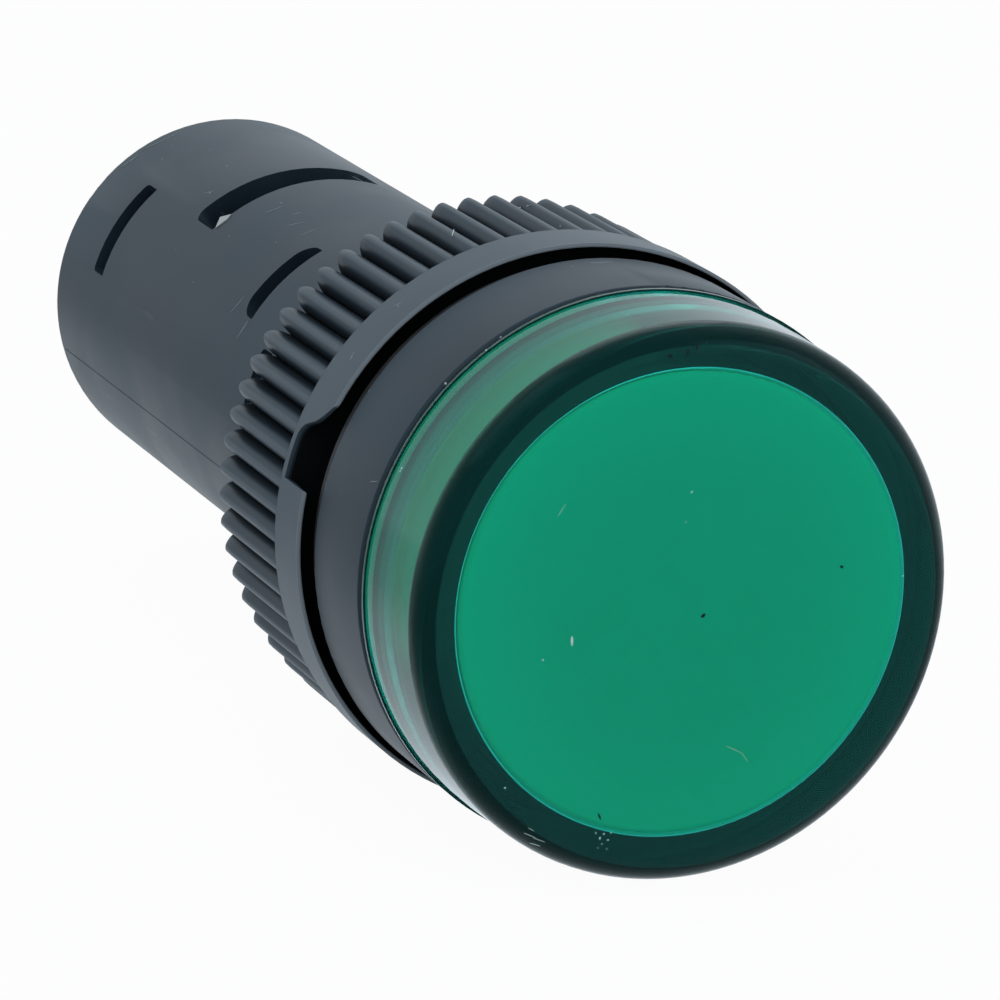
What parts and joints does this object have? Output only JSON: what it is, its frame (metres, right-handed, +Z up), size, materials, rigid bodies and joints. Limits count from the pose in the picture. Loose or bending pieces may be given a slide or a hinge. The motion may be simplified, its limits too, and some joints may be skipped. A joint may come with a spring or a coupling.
{
  "type": "panel pilot light",
  "caption": "Round panel pilot light with a flat green lens, a plain bezel, a ribbed ring nut on a slotted barrel and two screw terminals at the rear.",
  "frame": {"origin": "centre of the panel seat, where the lamp's axis passes the rear face of the gasket", "axes": "+Y along the lamp's axis into the panel, so the lens faces -Y; +Z up"},
  "size_m": [0.0298, 0.0713, 0.0298],
  "materials": {
    "black_plastic": "fine moulded satin, dark grey-black",
    "nut_plastic": "moulded satin, dark grey-black",
    "black_rubber": "matt black rubber",
    "green_lens": "clear green polished plastic",
    "green_diffuser": "milky green plastic",
    "white_plastic": "white matt plastic",
    "circuit_board": "green lacquered laminate",
    "lamp_resin": "pale yellow resin in white cases",
    "tinned_brass": "tinned, bright",
    "capacitor_case": "red-brown moulded case",
    "capacitor_sleeve": "shrunk plastic sleeve on an aluminium can",
    "black_resin": "moulded black resin",
    "resistor_coat": "tan lacquer with tinned leads",
    "contact_brass": "stamped brass",
    "plated_steel": "bright zinc plate"
  },
  "bodies": {
    "lamp": {"housing": "black_plastic", "terminal_block": "black_plastic", "panel_gasket": "black_rubber", "lens_cap": "green_lens", "diffuser": "green_diffuser", "reflector": "white_plastic", "led_board": "circuit_board", "led_chips": "lamp_resin", "driver_board": "circuit_board", "link_pins": "tinned_brass", "film_capacitor": "capacitor_case", "smoothing_capacitor": "capacitor_sleeve", "bridge_rectifier": "black_resin", "resistors": "resistor_coat", "contact_plate_left": "contact_brass", "contact_plate_right": "contact_brass"},
    "nut": {"ring_nut": "nut_plastic"},
    "clamp_left": {"saddle_clamp_left": "plated_steel"},
    "screw_left": {"terminal_screw_left": "plated_steel"},
    "clamp_right": {"saddle_clamp_right": "plated_steel"},
    "screw_right": {"terminal_screw_right": "plated_steel"}
  },
  "joints": [
    {"name": "nut_travel", "type": "slide", "parent": "lamp", "child": "nut", "axis": [0, 1, 0], "range_m": [0, 0.012]},
    {"name": "clamp_lift_left", "type": "slide", "parent": "lamp", "child": "clamp_left", "axis": [0, 1, 0], "range_m": [0, 0.0025]},
    {"name": "screw_turn_left", "type": "hinge", "parent": "clamp_left", "child": "screw_left", "pos_m": [-0.00419, 0.048, 0], "axis": [0, 1, 0], "range_deg": [0, 1800]},
    {"name": "clamp_lift_right", "type": "slide", "parent": "lamp", "child": "clamp_right", "axis": [0, 1, 0], "range_m": [0, 0.0025]},
    {"name": "screw_turn_right", "type": "hinge", "parent": "clamp_right", "child": "screw_right", "pos_m": [0.00419, 0.048, 0], "axis": [0, 1, 0], "range_deg": [0, 1800]}
  ],
  "couplings": [
    {"joint": "screw_turn_left", "follows": "clamp_lift_left", "rad_per_m": 12566},
    {"joint": "screw_turn_right", "follows": "clamp_lift_right", "rad_per_m": 12566}
  ]
}
